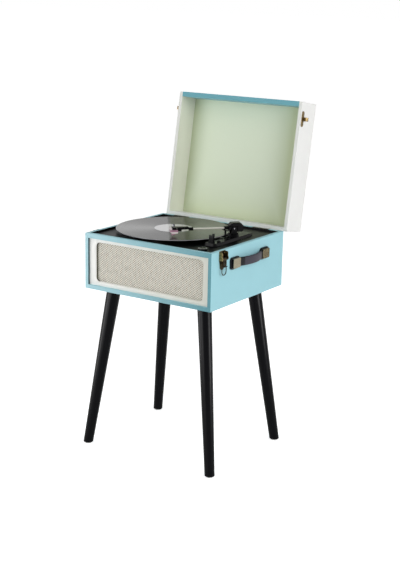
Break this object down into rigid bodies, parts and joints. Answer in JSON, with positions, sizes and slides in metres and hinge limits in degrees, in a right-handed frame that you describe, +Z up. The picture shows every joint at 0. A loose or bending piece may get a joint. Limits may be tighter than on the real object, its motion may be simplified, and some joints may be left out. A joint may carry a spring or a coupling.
{
  "type": "retro record player",
  "caption": "Suitcase record player on splayed tapered legs, with a hinged lid, turning platter and record, swinging tonearm, latches and a strap handle.",
  "frame": {"origin": "on the floor, midway between the four feet", "axes": "+Z up, +X to the viewer's right from the front, front of the case facing -Y"},
  "size_m": [0.4226, 0.4943, 0.9101],
  "materials": {
    "turquoise_wrap": "fine grained satin wrap over board",
    "cream_wrap": "fine grained satin wrap over board",
    "lid_lining_paper": "matte lining",
    "grille_fabric": "woven cloth",
    "board": "raw board",
    "black_metal": "satin",
    "cone_paper": "matte",
    "deck_board": "satin black",
    "black_plastic": "satin",
    "bearing_brass": "turned",
    "steel": "polished",
    "rubber": "matte",
    "vinyl": "glossy grooved",
    "label_paper": "matte",
    "silver_tube": "polished",
    "knob_metal": "satin",
    "cartridge_plastic": "satin",
    "stylus_plastic": "glossy",
    "circuit": "board with components",
    "antique_brass": "antique",
    "black_leather": "satin",
    "black_leg_lacquer": "satin black lacquer",
    "grey_pad": "satin"
  },
  "bodies": {
    "case": {"case_left_side": "turquoise_wrap", "case_right_side": "turquoise_wrap", "case_bottom": "turquoise_wrap", "case_rear": "turquoise_wrap", "front_rail": "turquoise_wrap", "grille_panel": "cream_wrap", "grille_cloth": "grille_fabric", "baffle_board": "board", "speaker_frames": "black_metal", "motor": "black_metal", "leg_plates": "black_metal", "speaker_cones": "cone_paper", "deck_plate": "deck_board", "tonearm_base": "black_plastic", "volume_pot": "black_plastic", "line_out_jacks": "black_plastic", "power_inlet": "black_plastic", "bearing_bush": "bearing_brass", "hinge_pins": "steel", "drive_belt": "rubber", "circuit_board": "circuit", "case_hinge_leaves": "antique_brass", "latch_plates": "antique_brass", "handle_end_caps": "antique_brass", "handle_strap": "black_leather", "handle_mounts": "black_leather", "front_left_leg": "black_leg_lacquer", "front_right_leg": "black_leg_lacquer", "rear_left_leg": "black_leg_lacquer", "rear_right_leg": "black_leg_lacquer", "foot_pads": "grey_pad"},
    "lid": {"lid_left_side": "cream_wrap", "lid_right_side": "cream_wrap", "lid_front_rail": "turquoise_wrap", "lid_rear_rail": "cream_wrap", "lid_top_panel": "cream_wrap", "lid_lining": "lid_lining_paper", "lid_hinge_leaves": "antique_brass", "lid_catches": "antique_brass"},
    "platter_assembly": {"platter": "black_plastic", "platter_mat": "rubber", "spindle": "steel", "record": "vinyl", "record_label": "label_paper"},
    "motor_pulley_body": {"motor_pulley": "bearing_brass"},
    "tonearm_yoke": {"tonearm_turret": "black_plastic", "arm_lift_pin": "steel"},
    "tonearm": {"tonearm_tube": "silver_tube", "headshell": "black_plastic", "cartridge": "cartridge_plastic", "stylus": "stylus_plastic", "arm_rear_block": "black_plastic"},
    "cue_lever_body": {"cue_lever": "black_plastic"},
    "cue_lift_body": {"cue_lift": "black_plastic"},
    "speed_switch_body": {"speed_switch": "black_plastic"},
    "volume_knob_body": {"volume_knob": "knob_metal"},
    "left_latch_lever_body": {"left_latch_lever": "antique_brass"},
    "left_latch_loop_body": {"left_latch_loop": "antique_brass"},
    "right_latch_lever_body": {"right_latch_lever": "antique_brass"},
    "right_latch_loop_body": {"right_latch_loop": "antique_brass"}
  },
  "joints": [
    {"name": "lid_hinge", "type": "hinge", "parent": "case", "child": "lid", "pos_m": [0, 0.177, 0.569], "axis": [1, 0, 0], "range_deg": [0, 100]},
    {"name": "platter_spin", "type": "hinge", "parent": "case", "child": "platter_assembly", "pos_m": [-0.033, -0.006, 0.585], "axis": [0, 0, 1], "continuous": true},
    {"name": "motor_spin", "type": "hinge", "parent": "case", "child": "motor_pulley_body", "pos_m": [-0.08957, 0.05057, 0.576], "axis": [0, 0, 1], "continuous": true},
    {"name": "tonearm_swing", "type": "hinge", "parent": "case", "child": "tonearm_yoke", "pos_m": [0.13, 0.026, 0.602], "axis": [0, 0, 1], "range_deg": [-15, 43]},
    {"name": "tonearm_lift", "type": "hinge", "parent": "tonearm_yoke", "child": "tonearm", "pos_m": [0.13, 0.026, 0.602], "axis": [-0.7314, 0.682, 0], "range_deg": [0, 6]},
    {"name": "cue_lever_hinge", "type": "hinge", "parent": "case", "child": "cue_lever_body", "pos_m": [0.138, -0.008, 0.5845], "axis": [-1, 0, 0], "range_deg": [0, 60]},
    {"name": "cue_lift_slide", "type": "slide", "parent": "case", "child": "cue_lift_body", "axis": [0, 0, 1], "range_m": [0, 0.0026]},
    {"name": "speed_switch_slide", "type": "slide", "parent": "case", "child": "speed_switch_body", "axis": [0, 1, 0], "range_m": [-0.006, 0.006]},
    {"name": "volume_turn", "type": "hinge", "parent": "case", "child": "volume_knob_body", "pos_m": [0.148, -0.14, 0.576], "axis": [0, 0, -1], "range_deg": [0, 270]},
    {"name": "left_latch_lever_hinge", "type": "hinge", "parent": "case", "child": "left_latch_lever_body", "pos_m": [-0.202, -0.126, 0.56], "axis": [0, 1, 0], "range_deg": [0, 70]},
    {"name": "left_latch_loop_hinge", "type": "hinge", "parent": "case", "child": "left_latch_loop_body", "pos_m": [-0.202, -0.126, 0.56], "axis": [0, 1, 0], "range_deg": [0, 180]},
    {"name": "right_latch_lever_hinge", "type": "hinge", "parent": "case", "child": "right_latch_lever_body", "pos_m": [0.202, -0.126, 0.56], "axis": [0, -1, 0], "range_deg": [0, 70]},
    {"name": "right_latch_loop_hinge", "type": "hinge", "parent": "case", "child": "right_latch_loop_body", "pos_m": [0.202, -0.126, 0.56], "axis": [0, -1, 0], "range_deg": [0, 180]}
  ],
  "couplings": [
    {"joint": "motor_spin", "follows": "platter_spin", "ratio": 10},
    {"joint": "tonearm_lift", "follows": "cue_lever_hinge", "ratio": 0.1},
    {"joint": "cue_lift_slide", "follows": "cue_lever_hinge", "m_per_rad": 0.0024}
  ]
}
